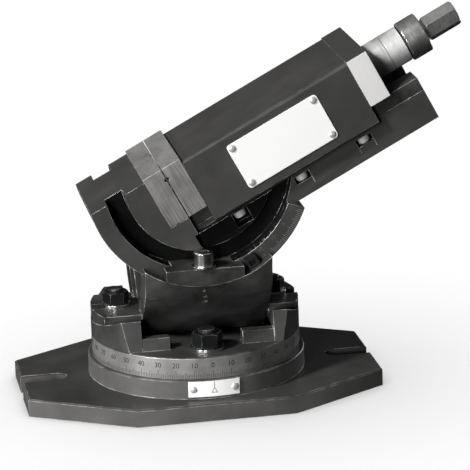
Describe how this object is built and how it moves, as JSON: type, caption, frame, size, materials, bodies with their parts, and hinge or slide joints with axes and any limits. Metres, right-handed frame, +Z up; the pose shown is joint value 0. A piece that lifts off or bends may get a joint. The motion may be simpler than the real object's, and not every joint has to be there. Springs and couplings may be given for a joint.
{
  "type": "three-axis vise",
  "caption": "Machine vise on a swivelling slotted base, with a leaning cradle, a half-disc tilting body, a sliding jaw and a hexagon-ended screw.",
  "frame": {"origin": "centre of the base plate's underside, under the swivel axis", "axes": "+X along the base towards the screw end, +Y away from the side with the name plate, +Z up; stored with the vise tilted 27.5 degrees, jaws closed"},
  "size_m": [0.3771, 0.206, 0.3078],
  "materials": {
    "casting": "blackened, satin, lightly oiled",
    "machined": "ground, with fine grinding marks",
    "bracket_steel": "fine milled",
    "polished": "turned and polished",
    "blacked": "blackened, semi-gloss",
    "plate": "plain satin sheet"
  },
  "bodies": {
    "base": {"base_plate": "casting", "pivot_pin": "polished", "index_plate": "plate", "index_plate_rivets": "polished"},
    "turntable": {"turntable": "casting", "swivel_bolts": "polished", "swivel_washers": "polished", "swivel_nuts": "blacked"},
    "cradle": {"cradle": "casting", "lean_bolts": "polished", "lean_washers": "polished", "lean_nuts": "blacked", "clamp_block_front": "casting", "clamp_block_rear": "casting", "clamp_washers": "polished", "clamp_screws": "polished", "tilt_pointer": "casting"},
    "vise": {"vise_body": "casting", "guide_rail_front": "machined", "guide_rail_rear": "machined", "guide_rail_screws": "polished", "spindle_nut": "machined", "spindle_nut_screws": "polished", "fixed_jaw_plate": "machined", "fixed_jaw_screws": "polished"},
    "jaw": {"movable_jaw": "casting", "movable_jaw_plate": "machined", "movable_jaw_screws": "polished", "keeper_plate": "machined", "keeper_screws": "polished", "thrust_bracket": "bracket_steel", "bracket_screws": "polished", "bearing_sleeve": "polished", "thrust_washer": "blacked", "name_plate": "plate", "name_plate_rivets": "polished"},
    "spindle": {"spindle": "polished", "thrust_ring": "polished", "thrust_ring_pin": "blacked"}
  },
  "joints": [
    {"name": "swivel", "type": "hinge", "parent": "base", "child": "turntable", "pos_m": [0, 0, 0.0304], "axis": [0, 0, 1], "continuous": true},
    {"name": "lean", "type": "hinge", "parent": "turntable", "child": "cradle", "pos_m": [0, 0, 0.1889], "axis": [1, 0, 0], "range_deg": [-10, 10]},
    {"name": "tilt", "type": "hinge", "parent": "cradle", "child": "vise", "pos_m": [0, 0, 0.1889], "axis": [0, -1, 0], "range_deg": [-27.5, 62.5]},
    {"name": "jaw_slide", "type": "slide", "parent": "vise", "child": "jaw", "axis": [0.887, 0, 0.4617], "range_m": [0, 0.08]},
    {"name": "screw_turn", "type": "hinge", "parent": "jaw", "child": "spindle", "pos_m": [0.13442, 0, 0.25121], "axis": [0.887, 0, 0.4617], "range_deg": [-10, 7210]}
  ],
  "couplings": [
    {"joint": "screw_turn", "follows": "jaw_slide", "rad_per_m": 1570.8}
  ]
}
